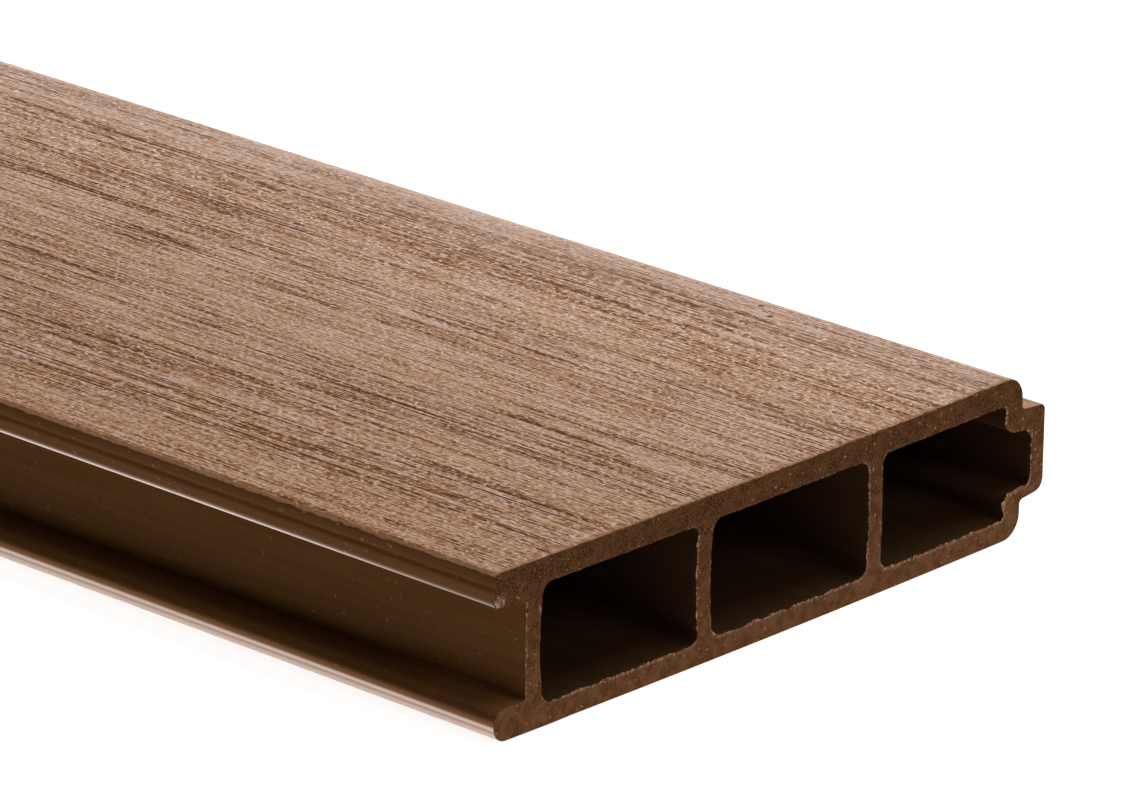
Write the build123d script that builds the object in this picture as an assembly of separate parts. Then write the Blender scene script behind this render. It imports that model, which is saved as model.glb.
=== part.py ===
"""Hollow tongue and groove fence board, extruded in wood-plastic composite.

One extrusion, lying on its back with the brushed face up. X runs along the board,
Y across it from the groove to the tongue, and Z through its thickness. The origin
is below the middle of the board, on the back face. Sizes are in millimetres.
"""

import os
from math import radians, tan

from build123d import *

# Overall sizes
BOARD_LENGTH = 1800.0
THICKNESS = 30.0
FACE_WIDTH = 133.8  # from the outer edge of the groove's lips to the shoulder beside the tongue

# Tongue, tapered so that it finds its way into the next board's groove
TONGUE_LENGTH = 6.2
TONGUE_HEIGHT = 17.0  # at the shoulder
TONGUE_TAPER = 0.6  # what each side loses from the shoulder to the tip
TONGUE_FACE_TIP_RADIUS = 1.2
TONGUE_BACK_TIP_RADIUS = 2.4
TONGUE_ROOT_RADIUS = 0.8

# Groove, which takes the tongue of the next board with room to swell
FACE_LIP_CLEARANCE = 0.4  # between the tongue and the lip on the face, at the groove's mouth
BACK_LIP_CLEARANCE = 0.7  # between the tongue and the lip on the back
TONGUE_TIP_CLEARANCE = 1.5  # between the tongue's tip and the bottom of the groove
GROOVE_DRAFT = 0.8  # what the lip on the face gains in thickness from the mouth to the bottom
GROOVE_BOTTOM_RADIUS = 0.6
FACE_LIP_OUTER_RADIUS = 1.2
FACE_LIP_INNER_RADIUS = 0.9
BACK_LIP_OUTER_RADIUS = 2.9
BACK_LIP_INNER_RADIUS = 2.6

# Shoulders beside the tongue, rounded on the face and on the back
SHOULDER_RADIUS = 4.3

# Walls
FACE_WALL = 4.6
BACK_WALL = 3.8
GROOVE_WEB = 3.9  # between the groove and the first chamber
CHAMBER_WEB = 3.3  # between two chambers
SHOULDER_WALL = 4.2  # beside the last chamber, above and below the tongue
TONGUE_TIP_WALL = 3.5
TONGUE_FACE_WALL = 3.9
TONGUE_BACK_WALL = 2.0

# Chambers, of which the last takes the width that is left
FIRST_CHAMBER_WIDTH = 38.4
MIDDLE_CHAMBER_WIDTH = 39.8
CHAMBER_RADIUS = 2.2
POCKET_CORNER_RADIUS = 1.2  # inner corners of the last chamber, beside and inside the tongue
POCKET_MOUTH_RADIUS = 2.6  # where the last chamber narrows into the tongue

# Places across the board
lip_edge = -(FACE_WIDTH + TONGUE_LENGTH) / 2
shoulder = lip_edge + FACE_WIDTH
tongue_tip = shoulder + TONGUE_LENGTH
groove_bottom = lip_edge + TONGUE_LENGTH + TONGUE_TIP_CLEARANCE
first_chamber = groove_bottom + GROOVE_WEB
middle_chamber = first_chamber + FIRST_CHAMBER_WIDTH + CHAMBER_WEB
last_chamber = middle_chamber + MIDDLE_CHAMBER_WIDTH + CHAMBER_WEB
hollow_end = tongue_tip - TONGUE_TIP_WALL
shoulder_inside = shoulder - SHOULDER_WALL

# Levels through the thickness
middle = THICKNESS / 2
groove_low = middle - TONGUE_HEIGHT / 2 - BACK_LIP_CLEARANCE
groove_high = middle + TONGUE_HEIGHT / 2 + FACE_LIP_CLEARANCE
chamber_floor = BACK_WALL
chamber_ceiling = THICKNESS - FACE_WALL


def tongue_half_height(across):
    """Half of the tongue's height at a place across the board, on its tapered sides."""
    return TONGUE_HEIGHT / 2 - TONGUE_TAPER * (across - shoulder) / TONGUE_LENGTH


def pocket_low(across):
    """Level of the floor of the hollow in the tongue, which follows the tapered side."""
    return middle - tongue_half_height(across) + TONGUE_BACK_WALL


def pocket_high(across):
    """Level of the ceiling of the hollow in the tongue."""
    return middle + tongue_half_height(across) - TONGUE_FACE_WALL


def fitted_radii(points, radii):
    """Radii of a closed outline, cut down where two rounds would not fit on the side between them."""
    count = len(points)
    corners = [Vector(*point) for point in points]
    reaches = []
    for index in range(count):
        before = corners[index - 1] - corners[index]
        after = corners[(index + 1) % count] - corners[index]
        half_turn = radians(180 - before.get_angle(after)) / 2
        reaches.append(radii[index] * tan(half_turn))
    room = []
    for index in range(count):
        following = (index + 1) % count
        side = (corners[following] - corners[index]).length
        room.append(min(1.0, 0.98 * side / (reaches[index] + reaches[following])))
    return [radii[index] * min(room[index - 1], room[index]) for index in range(count)]


def rounded_face(corners):
    """Flat face through corners given as (across, up, radius), each rounded by its radius."""
    points = [(across, up) for across, up, _ in corners]
    radii = fitted_radii(points, [radius for _, _, radius in corners])
    return make_face(FilletPolyline(*points, radius=radii, close=True))


def board_outline():
    """Outer line of the section, with the tongue on one edge and the groove in the other."""
    return rounded_face([
        (lip_edge, 0, BACK_LIP_OUTER_RADIUS),
        (shoulder, 0, SHOULDER_RADIUS),
        (shoulder, middle - tongue_half_height(shoulder), TONGUE_ROOT_RADIUS),
        (tongue_tip, middle - tongue_half_height(tongue_tip), TONGUE_BACK_TIP_RADIUS),
        (tongue_tip, middle + tongue_half_height(tongue_tip), TONGUE_FACE_TIP_RADIUS),
        (shoulder, middle + tongue_half_height(shoulder), TONGUE_ROOT_RADIUS),
        (shoulder, THICKNESS, SHOULDER_RADIUS),
        (lip_edge, THICKNESS, FACE_LIP_OUTER_RADIUS),
        (lip_edge, groove_high, FACE_LIP_INNER_RADIUS),
        (groove_bottom, groove_high - GROOVE_DRAFT, GROOVE_BOTTOM_RADIUS),
        (groove_bottom, groove_low, GROOVE_BOTTOM_RADIUS),
        (lip_edge, groove_low, BACK_LIP_INNER_RADIUS),
    ])


def plain_chamber(start, width):
    """Chamber between two webs, from start across the board."""
    end = start + width
    return rounded_face([
        (start, chamber_floor, CHAMBER_RADIUS),
        (end, chamber_floor, CHAMBER_RADIUS),
        (end, chamber_ceiling, CHAMBER_RADIUS),
        (start, chamber_ceiling, CHAMBER_RADIUS),
    ])


def tongue_chamber(start):
    """Last chamber, which runs on into the tongue and makes it hollow."""
    return rounded_face([
        (start, chamber_floor, CHAMBER_RADIUS),
        (shoulder_inside, chamber_floor, POCKET_CORNER_RADIUS),
        (shoulder_inside, pocket_low(shoulder_inside), POCKET_MOUTH_RADIUS),
        (hollow_end, pocket_low(hollow_end), POCKET_CORNER_RADIUS),
        (hollow_end, pocket_high(hollow_end), POCKET_CORNER_RADIUS),
        (shoulder_inside, pocket_high(shoulder_inside), POCKET_MOUTH_RADIUS),
        (shoulder_inside, chamber_ceiling, POCKET_CORNER_RADIUS),
        (start, chamber_ceiling, CHAMBER_RADIUS),
    ])


def board_section():
    """Section of the extrusion: the outline with its row of chambers taken out."""
    section = board_outline()
    section -= plain_chamber(first_chamber, FIRST_CHAMBER_WIDTH)
    section -= plain_chamber(middle_chamber, MIDDLE_CHAMBER_WIDTH)
    section -= tongue_chamber(last_chamber)
    return section


# The section is drawn across the board and pushed half the length each way.
board = extrude(Plane.YZ * board_section(), amount=BOARD_LENGTH / 2, both=True)

os.makedirs("parts", exist_ok=True)
export_step(board, "parts/board.step")
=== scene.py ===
import math

import bpy
import numpy as np
from mathutils import Matrix, Vector
from mathutils.geometry import tessellate_polygon


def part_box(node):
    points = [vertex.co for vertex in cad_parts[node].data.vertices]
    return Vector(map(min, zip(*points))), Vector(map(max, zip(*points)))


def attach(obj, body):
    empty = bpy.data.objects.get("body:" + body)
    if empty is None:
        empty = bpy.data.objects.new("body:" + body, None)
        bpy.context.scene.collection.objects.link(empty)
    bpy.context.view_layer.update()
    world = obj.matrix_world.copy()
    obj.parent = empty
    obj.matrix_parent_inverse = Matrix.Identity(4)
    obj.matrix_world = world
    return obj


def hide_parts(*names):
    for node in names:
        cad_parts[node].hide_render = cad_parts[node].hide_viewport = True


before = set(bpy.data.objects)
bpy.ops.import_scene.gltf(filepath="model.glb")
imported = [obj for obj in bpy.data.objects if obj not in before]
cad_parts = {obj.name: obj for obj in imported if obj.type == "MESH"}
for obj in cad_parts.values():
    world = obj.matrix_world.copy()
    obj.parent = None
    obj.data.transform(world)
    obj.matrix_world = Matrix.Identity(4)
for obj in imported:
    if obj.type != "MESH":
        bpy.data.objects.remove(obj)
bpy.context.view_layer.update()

# The board is a hollow fence board, one extrusion of wood-plastic composite, and lies loose on its back.
# Its two wide faces were brushed along their length after it left the die, and both ends were sawn square.
# Lengths here are millimetres, across the board from groove to tongue and up from its back.
MM = 0.001
THICKNESS = 30.0
FACE_WIDTH = 133.8
TONGUE_LENGTH = 6.2
TONGUE_HEIGHT = 17.0
TONGUE_TAPER = 0.6
TONGUE_FACE_TIP_RADIUS = 1.2
TONGUE_BACK_TIP_RADIUS = 2.4
TONGUE_ROOT_RADIUS = 0.8
FACE_LIP_CLEARANCE = 0.4
BACK_LIP_CLEARANCE = 0.7
TONGUE_TIP_CLEARANCE = 1.5
GROOVE_DRAFT = 0.8
GROOVE_BOTTOM_RADIUS = 0.6
FACE_LIP_OUTER_RADIUS = 1.2
FACE_LIP_INNER_RADIUS = 0.9
BACK_LIP_OUTER_RADIUS = 2.9
BACK_LIP_INNER_RADIUS = 2.6
SHOULDER_RADIUS = 4.3
FACE_WALL = 4.6
BACK_WALL = 3.8
GROOVE_WEB = 3.9
CHAMBER_WEB = 3.3
SHOULDER_WALL = 4.2
TONGUE_TIP_WALL = 3.5
TONGUE_FACE_WALL = 3.9
TONGUE_BACK_WALL = 2.0
FIRST_CHAMBER_WIDTH = 38.4
MIDDLE_CHAMBER_WIDTH = 39.8
CHAMBER_RADIUS = 2.2
POCKET_CORNER_RADIUS = 1.2
POCKET_MOUTH_RADIUS = 2.6

low_corner, high_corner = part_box("board")
start_x = low_corner[0] / MM
end_x = high_corner[0] / MM
lip_edge = low_corner[1] / MM
shoulder = lip_edge + FACE_WIDTH
tongue_tip = shoulder + TONGUE_LENGTH
groove_bottom = lip_edge + TONGUE_LENGTH + TONGUE_TIP_CLEARANCE
first_chamber = groove_bottom + GROOVE_WEB
first_end = first_chamber + FIRST_CHAMBER_WIDTH
middle_chamber = first_end + CHAMBER_WEB
middle_end = middle_chamber + MIDDLE_CHAMBER_WIDTH
last_chamber = middle_end + CHAMBER_WEB
hollow_end = tongue_tip - TONGUE_TIP_WALL
shoulder_inside = shoulder - SHOULDER_WALL
middle = THICKNESS / 2
groove_low = middle - TONGUE_HEIGHT / 2 - BACK_LIP_CLEARANCE
groove_high = middle + TONGUE_HEIGHT / 2 + FACE_LIP_CLEARANCE
ceiling = THICKNESS - FACE_WALL


def tongue_half_height(across):
    return TONGUE_HEIGHT / 2 - TONGUE_TAPER * (across - shoulder) / TONGUE_LENGTH


def pocket_low(across):
    return middle - tongue_half_height(across) + TONGUE_BACK_WALL


def pocket_high(across):
    return middle + tongue_half_height(across) - TONGUE_FACE_WALL


ARC_STEP = 0.2
FEWEST_ARC_STEPS = 6


def rounded_loop(corners):
    """Points round a closed outline. A corner is (across, up, radius, spacing along the side after it)."""
    arcs = []
    for index, (across, up, radius, _) in enumerate(corners):
        corner = np.array((across, up))
        before = np.array(corners[index - 1][:2]) - corner
        after = np.array(corners[(index + 1) % len(corners)][:2]) - corner
        before /= np.linalg.norm(before)
        after /= np.linalg.norm(after)
        half = math.acos(np.clip(before @ after, -1, 1)) / 2
        centre = corner + (before + after) / np.linalg.norm(before + after) * radius / math.sin(half)
        first = corner + before * radius / math.tan(half) - centre
        last = corner + after * radius / math.tan(half) - centre
        turn = math.atan2(first[0] * last[1] - first[1] * last[0], first @ last)
        count = max(FEWEST_ARC_STEPS, round(abs(turn) * radius / ARC_STEP))
        angles = math.atan2(first[1], first[0]) + turn * np.linspace(0, 1, count + 1)
        arcs.append(centre + radius * np.stack([np.cos(angles), np.sin(angles)], 1))
    points = []
    for index, arc in enumerate(arcs):
        points.extend(arc)
        run = arcs[(index + 1) % len(arcs)][0] - arc[-1]
        count = max(1, math.ceil(np.linalg.norm(run) / corners[index][3]))
        points.extend(arc[-1] + run * step / count for step in range(1, count))
    return np.array(points)


# Points lie close together on the sides that show torn edges, chips or painted light and shade,
# and far apart on the rest.
FINE = 0.2
COARSE = 4.0
outline = rounded_loop([
    (lip_edge, 0, BACK_LIP_OUTER_RADIUS, COARSE),
    (shoulder, 0, SHOULDER_RADIUS, COARSE),
    (shoulder, middle - tongue_half_height(shoulder), TONGUE_ROOT_RADIUS, COARSE),
    (tongue_tip, middle - tongue_half_height(tongue_tip), TONGUE_BACK_TIP_RADIUS, COARSE),
    (tongue_tip, middle + tongue_half_height(tongue_tip), TONGUE_FACE_TIP_RADIUS, COARSE),
    (shoulder, middle + tongue_half_height(shoulder), TONGUE_ROOT_RADIUS, COARSE),
    (shoulder, THICKNESS, SHOULDER_RADIUS, FINE),
    (lip_edge, THICKNESS, FACE_LIP_OUTER_RADIUS, FINE),
    (lip_edge, groove_high, FACE_LIP_INNER_RADIUS, FINE),
    (groove_bottom, groove_high - GROOVE_DRAFT, GROOVE_BOTTOM_RADIUS, FINE),
    (groove_bottom, groove_low, GROOVE_BOTTOM_RADIUS, FINE),
    (lip_edge, groove_low, BACK_LIP_INNER_RADIUS, FINE),
])


def chamber_loop(start, far_side):
    """Points round a chamber, the other way round from the outline, so that its walls face the hollow."""
    corners = [(start, BACK_WALL, CHAMBER_RADIUS), *far_side, (start, ceiling, CHAMBER_RADIUS)]
    return rounded_loop([(*corner, FINE) for corner in corners])[::-1]


def plain_chamber(start, end):
    return chamber_loop(start, [(end, BACK_WALL, CHAMBER_RADIUS), (end, ceiling, CHAMBER_RADIUS)])


chambers = [
    plain_chamber(first_chamber, first_end),
    plain_chamber(middle_chamber, middle_end),
    chamber_loop(last_chamber, [
        (shoulder_inside, BACK_WALL, POCKET_CORNER_RADIUS),
        (shoulder_inside, pocket_low(shoulder_inside), POCKET_MOUTH_RADIUS),
        (hollow_end, pocket_low(hollow_end), POCKET_CORNER_RADIUS),
        (hollow_end, pocket_high(hollow_end), POCKET_CORNER_RADIUS),
        (shoulder_inside, pocket_high(shoulder_inside), POCKET_MOUTH_RADIUS),
        (shoulder_inside, ceiling, POCKET_CORNER_RADIUS),
    ]),
]

# The die left its own marks on the section. A shallow line runs along the edge of the lip on the face,
# and the webs between the chambers came out a little bowed. Each bow is (place of the wall, amount).
LIP_LINE_UP = 27.2
LIP_LINE_DEPTH = 0.3
LIP_LINE_REACH = 0.45
WEB_BOWS = (
    (first_chamber, -0.7),
    (first_end, -0.6),
    (middle_chamber, -0.6),
    (middle_end, 0.25),
    (last_chamber, 0.25),
)
WEB_REACH = 2.0
LIP_EDGE_BAND = 0.1
on_lip = outline[:, 0] < lip_edge + LIP_EDGE_BAND
lip_line = LIP_LINE_DEPTH * np.exp(-((outline[:, 1] - LIP_LINE_UP) / LIP_LINE_REACH) ** 2)
outline[:, 0] += np.where(on_lip, lip_line, 0)
for loop in chambers:
    belly = np.sin(np.pi * np.clip((loop[:, 1] - BACK_WALL) / (ceiling - BACK_WALL), 0, 1))
    for place, bow in WEB_BOWS:
        loop[:, 0] += bow * belly * np.exp(-((loop[:, 0] - place) / WEB_REACH) ** 2)

# Saw burrs are ragged lips of torn composite. They lean into the chambers, most along their floors.
# The brushed face's edge is chipped where the saw left it, and the groove's wall has a burr as well.
# A flake is a longer shred that hangs on, given as (across, up, reach, amount).
FLOOR_BURR = 0.5
WEB_BURR = 0.32
PLAIN_BURR = 0.14
GROOVE_BURR = 0.3
GROOVE_BURR_REACH = 0.3
LIP_BURR = 0.35
LIP_BURR_ACROSS = lip_edge + 0.3
LIP_BURR_UP = groove_high + 0.2
LIP_BURR_REACH = 0.8
FACE_CHIP = 0.2
CHIPPED_DEPTH = 0.4
TUFT_LENGTH = 3.0
SMALL_TUFT_LENGTH = 1.1
TOOTH_LENGTH = 0.8
FEWEST_LUMPS = 3
FLAKES = (
    (first_end, 22.4, 1.2, 1.0),
    (shoulder_inside, 22.4, 1.6, 0.7),
    (shoulder_inside + 0.6, 7.2, 1.6, 1.5),
    (shoulder_inside + 3.6, 8.4, 1.5, 0.9),
    (hollow_end - 0.3, 19.0, 1.3, 0.9),
)
draw = np.random.default_rng(7)


def outward(loop):
    """Unit normals of a closed loop of points, away from the composite."""
    along = np.roll(loop, -1, 0) - np.roll(loop, 1, 0)
    normals = np.stack([along[:, 1], -along[:, 0]], 1)
    return normals / np.linalg.norm(normals, axis=1)[:, None]


def ragged(count, lump):
    """Uneven values from 0 to 1 round a closed loop of points, with lumps about as long as given."""
    knots = max(FEWEST_LUMPS, round(count * FINE / lump))
    values = draw.random(knots)
    place = np.arange(count) * knots / count
    low = place.astype(int)
    share = place - low
    share = share * share * (3 - 2 * share)
    return values[low] * (1 - share) + values[(low + 1) % knots] * share


def torn(count):
    """How far a torn edge stands out along a closed loop, from 0 to about 1, in tufts with small teeth."""
    tufts = 0.5 * ragged(count, TUFT_LENGTH) + 0.5 * ragged(count, SMALL_TUFT_LENGTH)
    teeth = 0.4 * ragged(count, TOOTH_LENGTH) + 0.6 * draw.random(count)
    return np.clip((tufts - 0.25) / 0.45, 0, 1) * (0.15 + 0.85 * teeth) + 0.35 * draw.random(count)


def outline_burr():
    """How far the burr stands out round the outline. A chip in the brushed face's edge is negative."""
    in_groove = np.exp(-((outline[:, 0] - groove_bottom) / GROOVE_BURR_REACH) ** 2)
    from_lip = np.hypot(outline[:, 0] - LIP_BURR_ACROSS, outline[:, 1] - LIP_BURR_UP)
    at_lip = np.exp(-(from_lip / LIP_BURR_REACH) ** 2)
    on_face = outline[:, 1] > THICKNESS - CHIPPED_DEPTH
    edge = 0.3 + 0.7 * torn(len(outline))
    burr = np.maximum(GROOVE_BURR * in_groove, LIP_BURR * at_lip) * edge
    return np.where(on_face, -FACE_CHIP * torn(len(outline)), burr)


def chamber_burr(loop, normals):
    """How far the burr stands out round a chamber, with the flakes that hang in it."""
    on_floor = np.clip(normals[:, 1], 0, 1)
    on_web = np.clip(-normals[:, 0], 0, 1)
    size = PLAIN_BURR + FLOOR_BURR * on_floor + WEB_BURR * on_web
    burr = size * torn(len(loop))
    for across, up, reach, amount in FLAKES:
        away = np.hypot(loop[:, 0] - across, loop[:, 1] - up)
        flake = amount * np.exp(-(away / reach) ** 4)
        burr = np.maximum(burr, flake * (0.5 + 0.5 * draw.random(len(loop))))
    return burr


# The bake's map is laid out in strips along the board, with most of its height for the brushed face.
# A strip is (lowest place, height for each millimetre). The two sawn ends lie side by side on top.
STRIPS = {
    "face": (0.0, 0.48 / 132),
    "back": (0.5, 0.17 / 134),
    "edge": (0.68, 0.14 / 118),
    "hollow": (0.845, 0.05 / 380),
}
STRIP_GAP = 0.003
ENDS_LOW = 0.905
ENDS_HEIGHT = 0.088
END_WIDTH = 0.49
END_MARGIN = 0.005
strip_tops = {name: low for name, (low, _) in STRIPS.items()}


def strip_places(loop, names):
    """Low and high place on the bake's map of each side of a loop, in the strip named for it."""
    lengths = np.linalg.norm(np.roll(loop, -1, 0) - loop, axis=1)
    places = np.empty((len(loop), 2))
    before = None
    for index, (name, length) in enumerate(zip(names, lengths)):
        if name != before:
            strip_tops[name] += STRIP_GAP
        places[index] = strip_tops[name], strip_tops[name] + length * STRIPS[name][1]
        strip_tops[name] = places[index, 1]
        before = name
    return places


def end_places(points, side):
    """Places on the bake's map for points of a sawn end."""
    u = END_MARGIN + 0.5 * side + END_WIDTH * (points[..., 0] - lip_edge) / (tongue_tip - lip_edge)
    return np.stack([u, ENDS_LOW + ENDS_HEIGHT * points[..., 1] / (THICKNESS + 1)], -1)


# The board's walls run from one sawn end to the other, with rows of points that crowd beside the cuts.
# The board cupped a little as it cooled, so it rests on the middle of its back.
FACE_CUP = 0.45
CUP_REACH = 65.0
SKIN, SAWN, HOLLOW = range(3)
END_BEVEL = 0.1
BURR_STAND = 0.3
BURR_LUMP = 1.0
BURR_LEFT = (1, 0.5, 0.15)
BURR_SHOWS_FROM = 0.06
BURR_SHOWS_OVER = 0.2
CHIP_SHOWS = 8.0
from_cut = np.array([0, 0.15, 0.5, 1.5, 4, 12, 40, 120, 300, 600])
rows = np.concatenate([start_x + from_cut, (end_x - from_cut)[::-1]])
places, attributes, faces, face_slots, face_maps = [], [], [], [], []


def add_points(points, depth, highlight, light_and_shade, burr):
    """Adds points with depth below a face, painted highlight, painted light and shade, and burr. Returns
    their numbers.
    """
    shape = points.shape[:-1]
    lifted = points.copy()
    lifted[..., 2] += FACE_CUP * (points[..., 1] / CUP_REACH) ** 2
    first = sum(len(group) for group in places)
    places.append(lifted.reshape(-1, 3))
    attributes.append(np.stack([np.broadcast_to(a, shape).ravel() for a in (depth, highlight, light_and_shade, burr)], 1))
    return first + np.arange(len(places[-1])).reshape(shape)


def add_faces(numbers, slot, bake_places):
    faces.extend(numbers.tolist())
    face_slots.append(np.full(len(numbers), slot))
    face_maps.append(bake_places.reshape(-1, 2))


def add_walls(loop, normals, burr, slot, strips, depth, highlight, light_and_shade):
    """Adds a loop's walls from end to end. Returns the numbers of its first and last row of points."""
    points = np.empty((len(rows), len(loop), 3))
    points[..., 0] = rows[:, None]
    points[..., 1:] = loop
    burrs = np.zeros(points.shape[:2])
    depths = np.zeros(points.shape[:2]) + depth
    for order, way in (([0, 1, 2], -1), ([-1, -2, -3], 1)):
        for row, share in zip(order, BURR_LEFT):
            points[row, :, 1:] += normals * (share * burr)[:, None]
            burrs[row] = share * np.clip((burr - BURR_SHOWS_FROM) / BURR_SHOWS_OVER, 0, 1)
            depths[row] += share * CHIP_SHOWS * np.clip(-burr, 0, None)
        points[order[0], :, 0] += way * BURR_STAND * np.maximum(burr, 0) * ragged(len(loop), BURR_LUMP)
        points[order[0], :, 1:] -= normals * END_BEVEL * (burr <= 0)[:, None]
    numbers = add_points(points, depths, highlight, light_and_shade, burrs)
    after = np.roll(np.arange(len(loop)), -1)
    u = (rows - start_x) / (end_x - start_x)
    for row in range(len(rows) - 1):
        lower, upper = numbers[row], numbers[row + 1]
        quads = np.stack([lower, lower[after], upper[after], upper], 1)
        corners = [(u[row], 0), (u[row], 1), (u[row + 1], 1), (u[row + 1], 0)]
        quad_places = [np.stack([np.full(len(loop), at), strips[:, side]], 1) for at, side in corners]
        add_faces(quads, slot, np.stack(quad_places, 1))
    return numbers[0], numbers[-1]


# Light and shade are painted along the edges. The lower edge of the lip on the face has a painted
# highlight, and the nose of the back lip is painted in stripes of light and shade, given as (up, amount).
# There 1 is a painted white reflection, about 0.45 is painted lit brown, and below 0 is painted shade. The
# groove's floor gets a little painted light. Brushing fades with the depth below a face, and reached the
# tongue's top.
LIP_HIGHLIGHT = 1.3
LIP_HIGHLIGHT_ACROSS = lip_edge + 0.25
LIP_HIGHLIGHT_UP = groove_high + 0.2
LIP_HIGHLIGHT_REACH = 0.44
NOSE_LIGHT_STRIPES = (
    (0.0, 0.3), (0.2, 0.76), (1.75, 0.76), (2.0, 0.62), (2.25, 0.62), (2.45, 1.0), (2.8, 1.0), (3.1, 0.4),
    (3.8, 0.2), (4.5, -0.2), (5.5, -0.15), (5.8, 0.0), (24.0, 0.0), (25.0, 0.07), (26.4, 0.06), (27.0, 0.0),
)
NOSE_WIDTH = 2.0
GROOVE_FLOOR_LIGHT = 0.03
GROOVE_FLOOR_BAND = 0.5
GROOVE_FLOOR_TILT = 0.7
TONGUE_TOP_DEPTH = 0.3
TONGUE_TOP_FROM = 0.6
TONGUE_TOP_TILT = 0.6
EDGE_BAND = 4.5
EDGE_TILT = 0.25
facing = outward(outline)
across_board, up_board = outline[:, 0], outline[:, 1]
is_face = (facing[:, 1] > EDGE_TILT) & (up_board > THICKNESS - EDGE_BAND)
is_back = (facing[:, 1] < -EDGE_TILT) & (up_board < EDGE_BAND)
strip_names = np.where(is_face, "face", np.where(is_back, "back", "edge"))
brushing_depth = np.minimum(up_board, THICKNESS - up_board)
on_tongue = across_board > shoulder + TONGUE_TOP_FROM
brushing_depth[on_tongue & (facing[:, 1] > TONGUE_TOP_TILT)] = TONGUE_TOP_DEPTH
from_highlight = np.hypot(across_board - LIP_HIGHLIGHT_ACROSS, up_board - LIP_HIGHLIGHT_UP)
lip_highlight = LIP_HIGHLIGHT * np.exp(-(from_highlight / LIP_HIGHLIGHT_REACH) ** 2)
nose_light_and_shade = np.interp(up_board, *np.transpose(NOSE_LIGHT_STRIPES)) * (across_board < lip_edge + NOSE_WIDTH)
in_groove = (up_board < groove_low + GROOVE_FLOOR_BAND) & (across_board < groove_bottom)
nose_light_and_shade[in_groove & (facing[:, 1] > GROOVE_FLOOR_TILT)] = GROOVE_FLOOR_LIGHT
loops = [(outline, facing)]
rims = [add_walls(outline, facing, outline_burr(), SKIN, strip_places(outline, strip_names),
                  brushing_depth, lip_highlight, nose_light_and_shade)]
for loop in chambers:
    normals = outward(loop)
    loops.append((loop, normals))
    strips = strip_places(loop, ["hollow"] * len(loop))
    rims.append(add_walls(loop, normals, chamber_burr(loop, normals), HOLLOW, strips, THICKNESS, 0, 0))

# The saw cut both ends of the board square, straight through its walls and webs.
# Each cut has a narrow rim beside every edge, where the burrs start, and is flat between the rims.
RIM = 0.4
for side, x in enumerate((start_x, end_x)):
    flat, numbers, cut_loops = [], [], []
    for (loop, normals), rim in zip(loops, rims):
        inset = loop - normals * RIM
        inner = add_points(np.insert(inset, 0, x, 1), THICKNESS, 0, 0, 0)
        after = np.roll(np.arange(len(loop)), -1)
        quads = np.stack([rim[side], rim[side][after], inner[after], inner], 1)
        quad_places = end_places(np.stack([loop, loop[after], inset[after], inset], 1), side)
        turned = slice(None, None, 1 if side else -1)
        add_faces(quads[:, turned], SAWN, quad_places[:, turned])
        flat.append(inset)
        numbers.append(inner)
        cut_loops.append([Vector((y, z, 0)) for _, y, z in places[-1]])
    flat = np.concatenate(flat)
    numbers = np.concatenate(numbers)
    cut = np.array(tessellate_polygon(cut_loops))
    cut_points = np.array([(p.x, p.y) for loop in cut_loops for p in loop])
    a, b, c = (cut_points[cut[:, corner]] for corner in range(3))
    turn = (b - a)[:, 0] * (c - a)[:, 1] - (b - a)[:, 1] * (c - a)[:, 0]
    wrong = (turn < 0) == bool(side)
    cut[wrong] = cut[wrong][:, ::-1]
    add_faces(numbers[cut], SAWN, end_places(flat[cut], side))

# One mesh holds the walls and the cuts. It is smooth except across the cuts' edges, which stay sharp,
# and its points carry what the materials need to know of brushing, burrs, and painted highlight, light and
# shade.
mesh = bpy.data.meshes.new("fence_board")
mesh.from_pydata(np.concatenate(places) * MM, [], faces)
slots = np.concatenate(face_slots)
mesh.polygons.foreach_set("material_index", slots.astype(np.int32))
mesh.polygons.foreach_set("use_smooth", slots != SAWN)
bake_map = mesh.uv_layers.new(name="OFBake")
bake_map.uv.foreach_set("vector", np.concatenate(face_maps).ravel().astype(np.float32))
for column, name in enumerate(("brushing_depth", "lip_highlight", "light_and_shade", "saw_burr")):
    layer = mesh.attributes.new(name, "FLOAT", "POINT")
    layer.data.foreach_set("value", np.concatenate(attributes)[:, column].astype(np.float32))
edge_points = np.empty(2 * len(mesh.edges), np.int32)
mesh.edges.foreach_get("vertices", edge_points)
on_rim = np.isin(edge_points.reshape(-1, 2), np.concatenate([row for rim in rims for row in rim]))
mesh.edges.foreach_set("use_edge_sharp", on_rim.all(1))
mesh.validate()
mesh.update()
board = bpy.data.objects.new("fence_board", mesh)
bpy.context.collection.objects.link(board)

# The composite shows three surfaces: brushed on the wide faces, sawn on the ends, and raw in the chambers.
# Each is drawn with noise in the board's own frame, with spots of a given size in millimetres.


def linear(hex_colour):
    """Linear red, green, blue and alpha of an sRGB hex colour."""
    parts = [int(hex_colour[i:i + 2], 16) / 255 for i in (1, 3, 5)]
    return [p / 12.92 if p <= 0.04045 else ((p + 0.055) / 1.055) ** 2.4 for p in parts] + [1.0]


def add(tree, kind, sockets, output=0, **settings):
    """Adds a node with its settings, and a value or a link for each socket. Returns one of its outputs."""
    node = tree.nodes.new("ShaderNode" + kind)
    for name, value in settings.items():
        setattr(node, name, value)
    for socket, value in sockets.items() if isinstance(sockets, dict) else enumerate(sockets):
        if isinstance(value, bpy.types.NodeSocket):
            tree.links.new(value, node.inputs[socket])
        else:
            node.inputs[socket].default_value = value
    return node.outputs[output] if node.outputs else None


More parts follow.
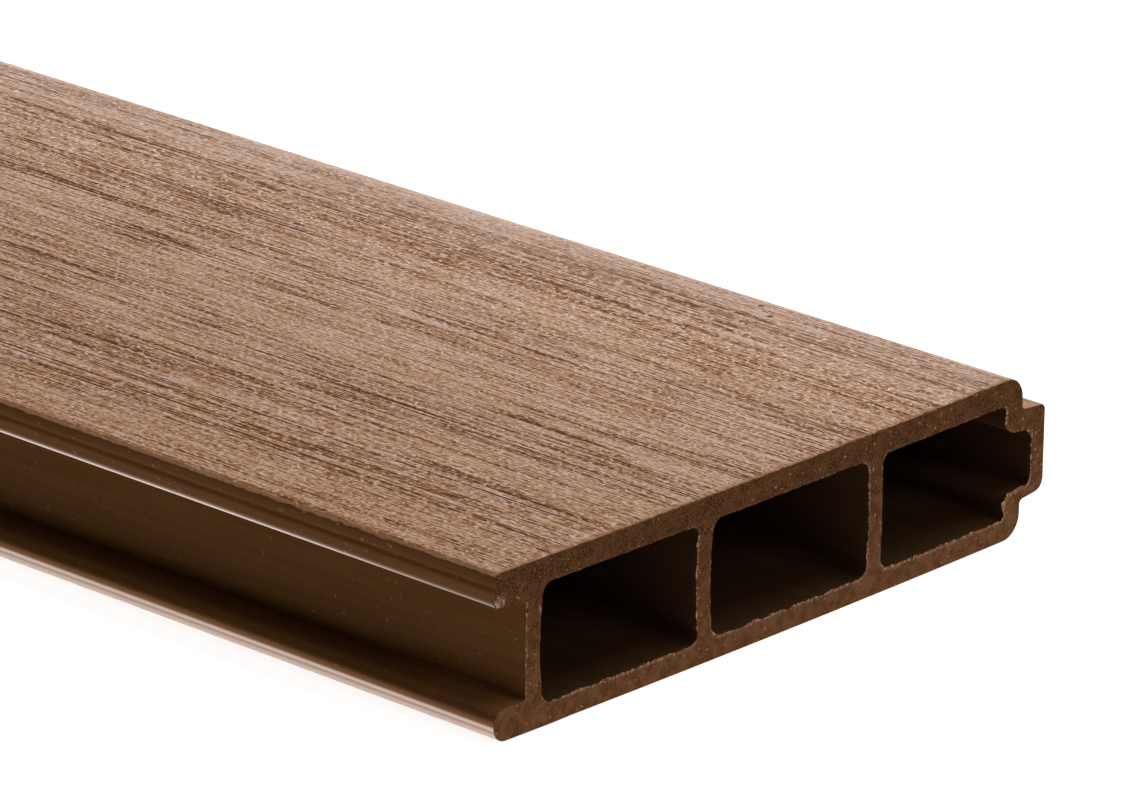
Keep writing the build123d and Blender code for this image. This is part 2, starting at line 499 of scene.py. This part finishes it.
# A mix of two colours has its own output, and its own sockets for the share and for each colour.
COLOURS = {"data_type": "RGBA", "output": 2}
SHARE, UNDER, OVER = 0, 6, 7
EASED = {"interpolation_type": "SMOOTHSTEP"}


def bare_material(name):
    material = bpy.data.materials.new(name)
    material.use_nodes = True
    material.node_tree.nodes.clear()
    return material


def place_along(tree, axis):
    """Place along one axis of the board's own frame, in metres."""
    return add(tree, "SeparateXYZ", (add(tree, "TexCoord", {}, "Object"),), axis)


def streaks(tree, along, across, detail=0.0):
    """Noise drawn out along the board, with spots about as long and as wide as given in millimetres."""
    place = add(tree, "TexCoord", {}, "Object")
    size = (1 / (along * MM), 1 / (across * MM), 1 / (across * MM))
    scaled = add(tree, "VectorMath", (place, size), operation="MULTIPLY")
    sockets = {"Vector": scaled, "Scale": 1.0, "Detail": detail, "Roughness": 0.55}
    return add(tree, "TexNoise", sockets, "Fac")


def nearness(tree, place, reach):
    """1 close to a place given in millimetres, and 0 from the reach on."""
    here = add(tree, "TexCoord", {}, "Object")
    centre = [length * MM for length in place]
    away = add(tree, "VectorMath", (here, centre), "Value", operation="DISTANCE")
    return add(tree, "MapRange", (away, reach * MM, 0.4 * reach * MM, 0, 1), **EASED)


# Where the die's skin was left on the composite, it is smooth, dark and faintly lined along the board.
# A little dust lies on it, the lip's lower edge has a painted white highlight, and the nose has painted
# stripes of light and shade, from a white reflection to dark shade.
LIP_HIGHLIGHT_FADES_OVER = 70.0
LIT_BROWN_AT = 0.45


def die_skin(tree, die_lines, light_and_shade, painted_reflection):
    """Colour of the skin, from its mottling, die lines and dust to its painted highlight, light and shade.
    """
    mottle = add(tree, "MapRange", (streaks(tree, 30, 1.6, 2), 0.35, 0.65, 0, 1), **EASED)
    skin = add(tree, "Mix", {SHARE: mottle, UNDER: linear("#573718"), OVER: linear("#5D3C1F")}, **COLOURS)
    lines = add(tree, "MapRange", (die_lines, 0.45, 0.7, 0, 0.3), **EASED)
    skin = add(tree, "Mix", {SHARE: lines, UNDER: skin, OVER: linear("#644120")}, **COLOURS)
    dust = add(tree, "MapRange", (streaks(tree, 1.0, 0.8), 0.76, 0.86, 0, 0.3), **EASED)
    skin = add(tree, "Mix", {SHARE: dust, UNDER: skin, OVER: linear("#A88468")}, **COLOURS)
    # The lip's painted highlight fades towards the sawn end at end_x.
    highlight_fades_from = (end_x - LIP_HIGHLIGHT_FADES_OVER) * MM
    highlight_fade = add(tree, "MapRange", (place_along(tree, "X"), highlight_fades_from, end_x * MM, 1, 0.35), **EASED)
    highlight = add(tree, "Attribute", {}, "Fac", attribute_name="lip_highlight")
    highlight = add(tree, "Math", (highlight, highlight_fade), operation="MULTIPLY")
    skin = add(tree, "Mix", {SHARE: highlight, UNDER: skin, OVER: linear("#FFEADB")}, **COLOURS)
    # Painted shade where the light and shade value is below 0, and painted light above it, up to a painted
    # white reflection.
    painted_shade = add(tree, "MapRange", (light_and_shade, 0, -1, 0, 1))
    skin = add(tree, "Mix", {SHARE: painted_shade, UNDER: skin, OVER: linear("#1C1006")}, **COLOURS)
    lit_brown = add(tree, "MapRange", (light_and_shade, 0, LIT_BROWN_AT, 0, 1))
    skin = add(tree, "Mix", {SHARE: lit_brown, UNDER: skin, OVER: linear("#A0714F")}, **COLOURS)
    return add(tree, "Mix", {SHARE: painted_reflection, UNDER: skin, OVER: linear("#F4DACB")}, **COLOURS)


# The brushes opened the skin of the wide faces to pale fibres, with dark furrows and small pale flecks.
# Fibres and furrows are (length, width, share). A real furrow is about 0.1 mm wide, and is drawn as coarse
# as it needs to show. Beside the shoulder the brushes pressed less, and two small knocks mark the face.
FIBRES = ((40, 0.42, 0.4), (5, 0.42, 0.5), (1.2, 0.5, 0.9), (0.6, 0.6, 0.65))
FIBRE_LEVEL = -0.06
FURROWS = ((12, 0.42, 0.55), (40, 0.4, 0.8), (130, 0.4, 0.72))
KNOCKS = (
    ((end_x - 55.7, shoulder - 5.9, THICKNESS), 0.8),
    ((end_x - 51.0, shoulder - 8.7, THICKNESS), 0.9),
)
DARKENS_FROM, DARKENS_TO = 15 * MM, 55 * MM
CALMS_FROM, CALMS_TO = 36 * MM, 58 * MM
FURROWS_FADE_FROM, FURROWS_FADE_TO = 42 * MM, 62 * MM
SHEEN_PAINTED_FROM, SHEEN_PAINTED_TO = 36 * MM, 60 * MM


def furrow_depth(tree, across):
    """How deep the furrows are. They crowd in some bands, and are faint beside the shoulder."""
    furrow = 0.0
    for length, width, share in FURROWS:
        dark = add(tree, "MapRange", (streaks(tree, length, width), 0.585, 0.67, 0, share), **EASED)
        furrow = add(tree, "Math", (dark, furrow), operation="ADD")
    crowd = add(tree, "MapRange", (streaks(tree, 160, 7, 1), 0.38, 0.6, 0.45, 1.05), **EASED)
    broken = add(tree, "MapRange", (streaks(tree, 1.6, 0.6), 0.36, 0.56, 0.45, 1), **EASED)
    fading = add(tree, "MapRange", (across, FURROWS_FADE_FROM, FURROWS_FADE_TO, 1, 0.4), **EASED)
    for share in (crowd, broken, fading):
        furrow = add(tree, "Math", (furrow, share), operation="MULTIPLY")
    return furrow


def brushed_texture(tree, across, furrow):
    """How pale the brushed face is, from about 0 in a furrow to 1 on a raised fibre or a fleck."""
    fibre = FIBRE_LEVEL - 0.5 * sum(share for _, _, share in FIBRES)
    for length, width, share in FIBRES:
        fibre = add(tree, "Math", (streaks(tree, length, width), share, fibre), operation="MULTIPLY_ADD")
    fleck = add(tree, "MapRange", (streaks(tree, 0.9, 0.65), 0.66, 0.73, 0, 0.75), **EASED)
    uneven = add(tree, "Math", (fibre, fleck), operation="ADD")
    calm = add(tree, "MapRange", (across, CALMS_FROM, CALMS_TO, 1, 0.6), **EASED)
    # The face's base is painted darker towards the shoulder, as painted shade against the back softbox's
    # stronger light there.
    level = add(tree, "MapRange", (across, DARKENS_FROM, DARKENS_TO, 0.425, 0.275), **EASED)
    level = add(tree, "Math", (streaks(tree, 90, 5, 2), 0.45, level), operation="MULTIPLY_ADD")
    texture = add(tree, "Math", (uneven, calm, level), operation="MULTIPLY_ADD")
    texture = add(tree, "Math", (texture, furrow), operation="SUBTRACT")
    for place, reach in KNOCKS:
        texture = add(tree, "Math", (texture, nearness(tree, place, reach)), operation="SUBTRACT")
    return texture


def face_colour(tree, across, texture, round_edge):
    """Colour of the brushed face, from dark furrows to pale fibres, with painted sheen beside the shoulder.
    """
    fibre = add(tree, "MapRange", (texture, -0.2, 0.5, 0, 1))
    face = add(tree, "Mix", {SHARE: fibre, UNDER: linear("#52290A"), OVER: linear("#9F6C3C")}, **COLOURS)
    paler = add(tree, "MapRange", (texture, 0.5, 1, 0, 1))
    face = add(tree, "Mix", {SHARE: paler, UNDER: face, OVER: linear("#B19683")}, **COLOURS)
    # Painted sheen: beside the shoulder the raised fibres are painted paler and greyer, as the back
    # softbox's sheen.
    painted_sheen = add(tree, "MapRange", (across, SHEEN_PAINTED_FROM, SHEEN_PAINTED_TO, 0, 0.45), **EASED)
    raised = add(tree, "MapRange", (texture, 0, 0.45, 0.3, 1))
    painted_sheen = add(tree, "Math", (painted_sheen, raised), operation="MULTIPLY")
    face = add(tree, "Mix", {SHARE: painted_sheen, UNDER: face, OVER: linear("#A68E80")}, **COLOURS)
    # On the rounded edges the colour is painted a duller brown, standing in for the sheen, which is turned
    # down there.
    return add(tree, "Mix", {SHARE: round_edge, UNDER: face, OVER: linear("#8E694F")}, **COLOURS)


# Wood-plastic composite, extruded and then brushed, with the die's skin left in the groove and on edges.
# The brushing ends along a wavering line on the rounded edges. Raised fibres take a soft sheen that the
# furrows lack, and the skin is smoother but darker, so that it reflects little.
BRUSHING_WAVER = 0.8
BRUSHED_TO = 0.9
SKIN_FROM = 1.14
FURROWS_FILLED = 0.55
BRUSHED_RELIEF = 0.08 * MM


def brushed_composite():
    material = bare_material("wood_plastic_composite_brushed")
    tree = material.node_tree
    die_lines = streaks(tree, 900, 0.35, 3)
    # The nose's painted light and shade, and the share of its painted white reflection.
    light_and_shade = add(tree, "Attribute", {}, "Fac", attribute_name="light_and_shade")
    painted_reflection = add(tree, "MapRange", (light_and_shade, LIT_BROWN_AT, 1, 0, 1))
    skin = die_skin(tree, die_lines, light_and_shade, painted_reflection)

    across = place_along(tree, "Y")
    furrow = furrow_depth(tree, across)
    texture = brushed_texture(tree, across, furrow)
    depth = add(tree, "Attribute", {}, "Fac", attribute_name="brushing_depth")
    round_edge = add(tree, "MapRange", (depth, 0.002, 0.25, 0, 0.8))
    face = face_colour(tree, across, texture, round_edge)

    depth = add(tree, "Math", (streaks(tree, 3.0, 2.0, 2), BRUSHING_WAVER, depth), operation="MULTIPLY_ADD")
    brushed = add(tree, "MapRange", (depth, SKIN_FROM, BRUSHED_TO, 0, 1), **EASED)
    height = add(tree, "Math", (furrow, FURROWS_FILLED, texture), operation="MULTIPLY_ADD")
    height = add(tree, "Math", (height, brushed), operation="MULTIPLY")
    height = add(tree, "Math", (die_lines, 0.08, height), operation="MULTIPLY_ADD")
    sheen = add(tree, "MapRange", (texture, 0.15, 0.92, 0, 0.6))
    flat = add(tree, "MapRange", (round_edge, 0, 0.8, 1, 0.1))
    sheen = add(tree, "Math", (sheen, flat), operation="MULTIPLY")
    sheen = add(tree, "Math", (sheen, brushed, 0.01), operation="MULTIPLY_ADD")
    sheen = add(tree, "Math", (painted_reflection, 0.5, sheen), operation="MULTIPLY_ADD")
    surface = add(tree, "BsdfPrincipled", {
        "Base Color": add(tree, "Mix", {SHARE: brushed, UNDER: skin, OVER: face}, **COLOURS),
        "Roughness": add(tree, "MapRange", (brushed, 0, 1, 0.34, 0.5)),
        "IOR": 1.5,
        "Specular IOR Level": sheen,
        "Normal": add(tree, "Bump", {"Height": height, "Distance": BRUSHED_RELIEF}),
    })
    add(tree, "OutputMaterial", (surface,))
    return material


# The same composite where the saw cut it: dull and finely mottled, with painted shade that darkens it
# towards the face and leaves it lighter by the table, and a pale wood crumb here and there. Burrs are
# paler, and so is the torn corner of the lip on the face.
PALE_CUT_UP, DARK_CUT_UP = 3 * MM, 27 * MM
TORN_CORNER = (end_x, lip_edge + 1.0, groove_high + 0.9)
TORN_REACH = 1.9
SAWN_RELIEF = 0.07 * MM


def sawn_composite():
    material = bare_material("wood_plastic_composite_sawn")
    tree = material.node_tree
    blotch = add(tree, "MapRange", (streaks(tree, 1.9, 1.9, 3), 0.36, 0.64, 0, 1), **EASED)
    # Painted shade: the cut is darker towards the face and lighter near the table.
    shade = add(tree, "MapRange", (place_along(tree, "Z"), PALE_CUT_UP, DARK_CUT_UP, 0, 1))
    low = add(tree, "Mix", {SHARE: blotch, UNDER: linear("#4D2E17"), OVER: linear("#62412A")}, **COLOURS)
    high = add(tree, "Mix", {SHARE: blotch, UNDER: linear("#341D0A"), OVER: linear("#492D16")}, **COLOURS)
    colour = add(tree, "Mix", {SHARE: shade, UNDER: low, OVER: high}, **COLOURS)
    grit = streaks(tree, 0.4, 0.4, 1)
    grain = add(tree, "MapRange", (grit, 0.4, 0.7, 0, 0.6), **EASED)
    colour = add(tree, "Mix", {SHARE: grain, UNDER: colour, OVER: linear("#664329")}, **COLOURS)
    crumb = add(tree, "MapRange", (streaks(tree, 0.7, 0.7), 0.73, 0.86, 0, 0.55), **EASED)
    colour = add(tree, "Mix", {SHARE: crumb, UNDER: colour, OVER: linear("#A8805F")}, **COLOURS)
    burr = add(tree, "Attribute", {}, "Fac", attribute_name="saw_burr")
    gritty = add(tree, "MapRange", (grit, 0.35, 0.6, 0.3, 1))
    burr = add(tree, "Math", (burr, gritty), operation="MULTIPLY")
    tear = nearness(tree, TORN_CORNER, TORN_REACH)
    tear = add(tree, "Math", (tear, 0.85, burr), operation="MULTIPLY_ADD")
    shreds = add(tree, "MapRange", (streaks(tree, 0.8, 0.8, 1), 0.42, 0.62, 0.1, 1))
    burr = add(tree, "Math", (tear, shreds), operation="MULTIPLY")
    surface = add(tree, "BsdfPrincipled", {
        "Base Color": add(tree, "Mix", {SHARE: burr, UNDER: colour, OVER: linear("#AD8870")}, **COLOURS),
        "Roughness": 0.7,
        "Specular IOR Level": 0.02,
        "Normal": add(tree, "Bump", {"Height": grit, "Distance": SAWN_RELIEF}),
    })
    add(tree, "OutputMaterial", (surface,))
    return material


# Inside the chambers the composite kept the raw skin that it cooled with, which no tool has touched.
# It is dull, and painted much darker than the skin outside, as shade in the hollows, with faint mottling
# along the board. Burrs beside the cut are paler.
def chamber_composite():
    material = bare_material("wood_plastic_composite_shaded_hollow")
    tree = material.node_tree
    mottle = add(tree, "MapRange", (streaks(tree, 40, 2.5, 2), 0.3, 0.7, 0, 1), **EASED)
    # Painted shade: a darker brown than the skin outside.
    colour = add(tree, "Mix", {SHARE: mottle, UNDER: linear("#311F0E"), OVER: linear("#372311")}, **COLOURS)
    burr = add(tree, "Attribute", {}, "Fac", attribute_name="saw_burr")
    surface = add(tree, "BsdfPrincipled", {
        "Base Color": add(tree, "Mix", {SHARE: burr, UNDER: colour, OVER: linear("#6E4D35")}, **COLOURS),
        "Roughness": 0.6,
        "Specular IOR Level": 0.1,
    })
    add(tree, "OutputMaterial", (surface,))
    return material


board.data.materials.append(brushed_composite())
board.data.materials.append(sawn_composite())
board.data.materials.append(chamber_composite())
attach(board, "root")
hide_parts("board")

# The studio table is a wide sheet of white paper, lit a little through from below, as for a cut-out.
# It is matt and even, so that the board shows a soft contact shadow and nothing else.
FLOOR_SIZE = 200
bpy.ops.mesh.primitive_plane_add(size=FLOOR_SIZE, location=(0, 0, 0))
floor = bpy.context.object
floor.name = "studio_floor"
paper = bare_material("white_studio_paper")
paper_surface = add(paper.node_tree, "BsdfPrincipled", {
    "Base Color": linear("#A0A0A0"),
    "Roughness": 0.9,
    "Specular IOR Level": 0.2,
    "Emission Color": linear("#FFFFFF"),
    "Emission Strength": 0.88,
})
add(paper.node_tree, "OutputMaterial", (paper_surface,))
floor.data.materials.append(paper)

# The studio light is soft. A long, low softbox behind the board rakes across the brushing to the camera.
# A large one overhead and a large one before the sawn end fill in, and the room gives a trace of light.
# Places and sizes are metres, and powers are watts.
ROOM_LIGHT = 0.05
world = bpy.data.worlds.new("studio")
bpy.context.scene.world = world
world.use_nodes = True
room = world.node_tree.nodes["Background"]
room.inputs["Color"].default_value = linear("#FFFFFF")
room.inputs["Strength"].default_value = ROOM_LIGHT


def softbox(name, place, aim, size, power):
    lamp = bpy.data.lights.new(name, "AREA")
    lamp.shape = "RECTANGLE"
    lamp.size, lamp.size_y = size
    lamp.energy = power
    holder = bpy.data.objects.new(name, lamp)
    holder.location = place
    holder.rotation_euler = (Vector(aim) - Vector(place)).to_track_quat("-Z", "Y").to_euler()
    holder.visible_camera = False
    bpy.context.collection.objects.link(holder)


softbox("softbox_behind", (0.0, 0.17, 0.072), (0.0, -0.02, 0.03), (1.95, 0.07), 1.52)
softbox("softbox_overhead", (1.0, 0.65, 2.3), (0.8, 0, 0), (1.6, 1.3), 42)
softbox("softbox_front", (3.0, 0.0, 1.5), (0.9, 0, 0), (1.5, 1.2), 22)

# The camera looks down on the sawn end and the groove from the front, through a long lens, as in the photo.
# Its angles are measured round the board from the groove's side, and up from the table.
AZIMUTH = math.radians(42.45)
ELEVATION = math.radians(20.20)
ROLL = math.radians(0.786)
DISTANCE = 1.4049
AIM = Vector((0.85244, -0.00023, 0.030))
FOCAL_LENGTH = 258.03
SENSOR_WIDTH = 36
level_reach = math.cos(ELEVATION)
back = Vector((math.sin(AZIMUTH) * level_reach, -math.cos(AZIMUTH) * level_reach, math.sin(ELEVATION)))
level = Vector((math.cos(AZIMUTH), math.sin(AZIMUTH), 0))
rise = back.cross(level)
right = level * math.cos(ROLL) + rise * math.sin(ROLL)
up = rise * math.cos(ROLL) - level * math.sin(ROLL)
lens = bpy.data.cameras.new("camera")
lens.sensor_width = SENSOR_WIDTH
lens.lens = FOCAL_LENGTH
lens.clip_start = 0.05
lens.clip_end = 500
camera = bpy.data.objects.new("camera", lens)
attitude = Matrix((right, up, back)).transposed().to_4x4()
camera.matrix_world = Matrix.Translation(AIM + back * DISTANCE) @ attitude
bpy.context.collection.objects.link(camera)
bpy.context.scene.camera = camera
bpy.context.scene.view_settings.view_transform = "Standard"
